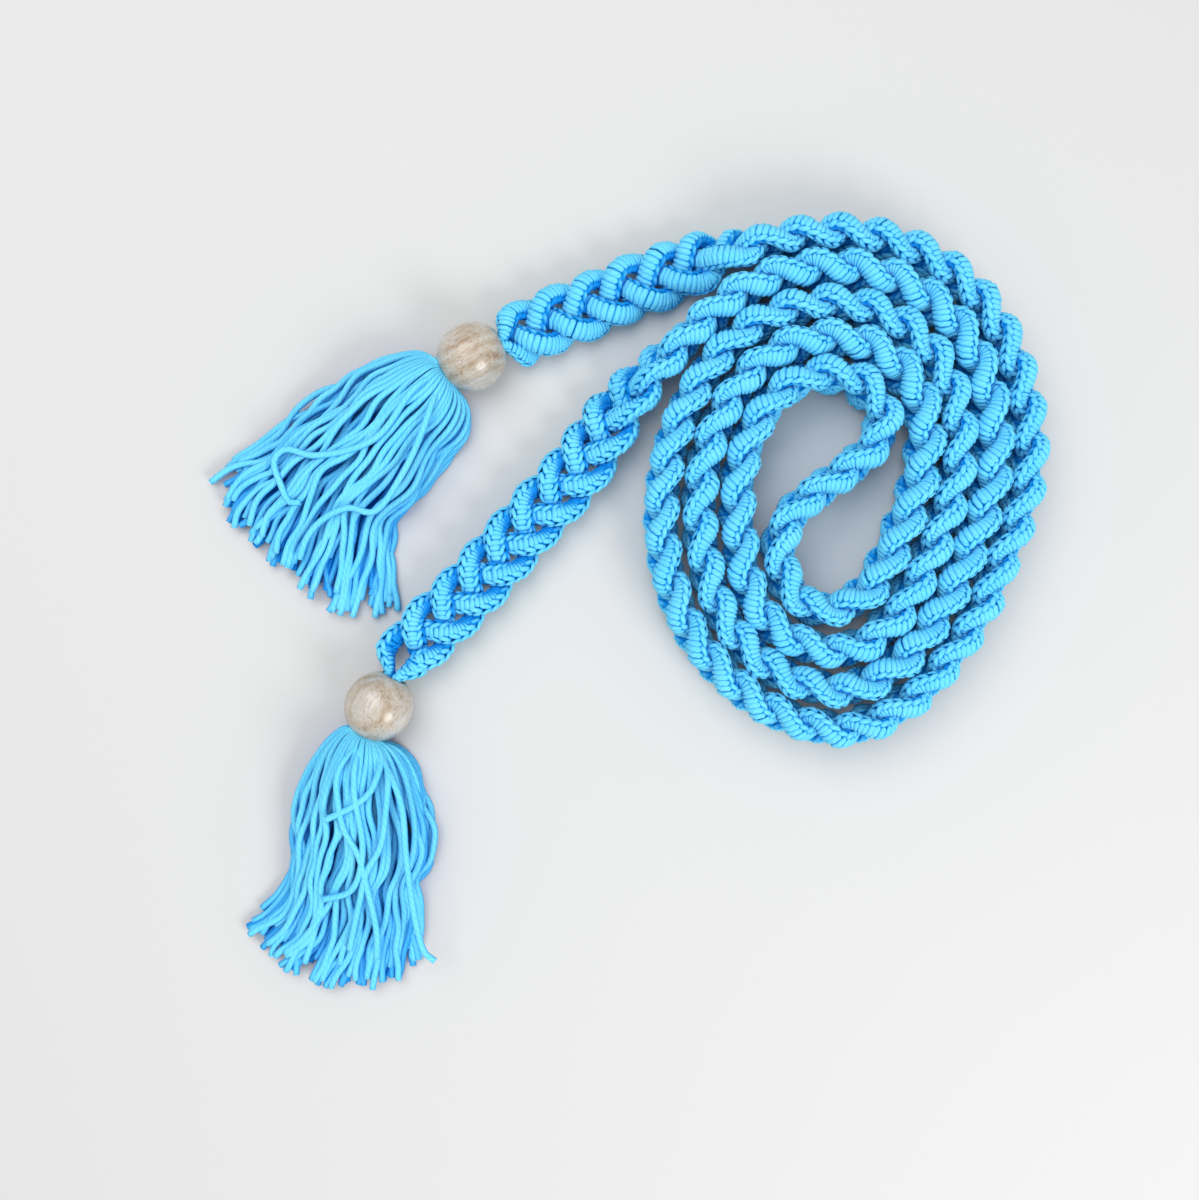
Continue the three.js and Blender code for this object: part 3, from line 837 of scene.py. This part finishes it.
def tassel(end, seed):
    """All the yarns of one tassel, layer upon layer, turned the way that its bead points."""
    chance = np.random.default_rng(seed)
    lines, painted_lights = [], []
    for layer, count in enumerate(LAYER_COUNTS):
        depth = 1 - layer / (len(LAYER_COUNTS) - 1)
        for yarn in range(count):
            shift = chance.uniform(-YARN_SHIFT, YARN_SHIFT)
            share = np.clip((yarn + 0.5 + shift) / count, 0, 1)
            line = tassel_line(TASSELS[end], share, depth, chance)
            lines.append(evenly(line, TASSEL_STATIONS))
            # Painted shade: yarns in the lower layers get less painted light, except towards the
            # sides of the pile.
            shown = max(depth, abs(2 * share - 1) ** SIDES_SHOWN)
            painted_lights.append(mix(INNERMOST_PAINTED_LIGHT, 1, shown))
    for points in TASSELS[end]["strays"]:
        lines.append(stray_line(points))
        painted_lights.append(1)
    lines = np.array(lines)
    angle = outward_angles[end]
    turned = np.array([
        [math.cos(angle), math.sin(angle), 0],
        [-math.sin(angle), math.cos(angle), 0],
        [0, 0, 1],
    ])
    lines = lines @ turned + np.append(ends[end][0] + frame_shift, 0)
    out = np.linspace(0, 1, TASSEL_STATIONS)
    squeezed = mix(NECK_SQUEEZE, 1, smooth(out / NECK_SHARE))
    radii = np.broadcast_to(YARN_RADIUS * squeezed, lines.shape[:2])
    outward = np.broadcast_to(np.array([0.0, 0.0, 1.0]), lines.shape)
    around = 360 * np.arange(TASSEL_SIDES) / TASSEL_SIDES
    rings, turn = yarn_rings(lines, outward, radii, radii, around)
    # Painted shade on each yarn's underside and painted light on its top.
    facing = mix(UNDERSIDE_PAINTED_LIGHT, 1, 0.5 + 0.5 * turn[..., 0])
    crown = facing * np.array(painted_lights)[:, None, None]
    return yarn_mesh(f"yarn_tassel_{end + 1}", [(rings, True, turn, crown)])


tassel_yarn = cotton_yarn("tassel_yarn", shaded_to_lit=(0.46, 0.98), ply_length=2.9, ply_depth=0.35)
for end in range(2):
    bunch = tassel(end, seed=5 + end)
    bunch.data.materials.append(tassel_yarn)
    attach(bunch, "root")
    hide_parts(f"tassel_{end + 1}")

# The floor and the light. The belt lies on a plain pale sheet under a large soft lamp, with a
# second, weaker one low on the right that gives the beads their highlight.
FLOOR_SIZE = 4
FLOOR_DROP = 0.0002
FLOOR_COLOR = (0.66, 0.65, 0.635, 1)
ROOM_COLOR = (0.92, 0.96, 1, 1)
ROOM_LIGHT = 0.6


def plain_floor():
    material, _, shader = new_material("plain_floor")
    shader.inputs["Base Color"].default_value = FLOOR_COLOR
    shader.inputs["Roughness"].default_value = 0.9
    mesh = bpy.data.meshes.new("floor")
    half = FLOOR_SIZE / 2
    corners = [(-half, -half, 0), (half, -half, 0), (half, half, 0), (-half, half, 0)]
    mesh.from_pydata(corners, [], [(0, 1, 2, 3)])
    mesh.materials.append(material)
    made = bpy.data.objects.new("floor", mesh)
    made.location.z = -FLOOR_DROP
    bpy.context.scene.collection.objects.link(made)
    return made


def soft_lamp(name, place, size, power):
    lamp = bpy.data.lights.new(name, "AREA")
    lamp.shape = "DISK"
    lamp.size = size
    lamp.energy = power
    made = bpy.data.objects.new(name, lamp)
    made.location = place
    made.rotation_euler = (-Vector(place)).to_track_quat("-Z", "Y").to_euler()
    bpy.context.scene.collection.objects.link(made)
    return made


plain_floor()
soft_lamp("main_lamp", place=(-0.35, 0.45, 1.2), size=1.2, power=10)
soft_lamp("low_lamp", place=(0.62, -0.7, 0.75), size=0.62, power=7)
world = bpy.data.worlds.new("room")
bpy.context.scene.world = world
world.use_nodes = True
world.node_tree.nodes["Background"].inputs["Color"].default_value = ROOM_COLOR
world.node_tree.nodes["Background"].inputs["Strength"].default_value = ROOM_LIGHT
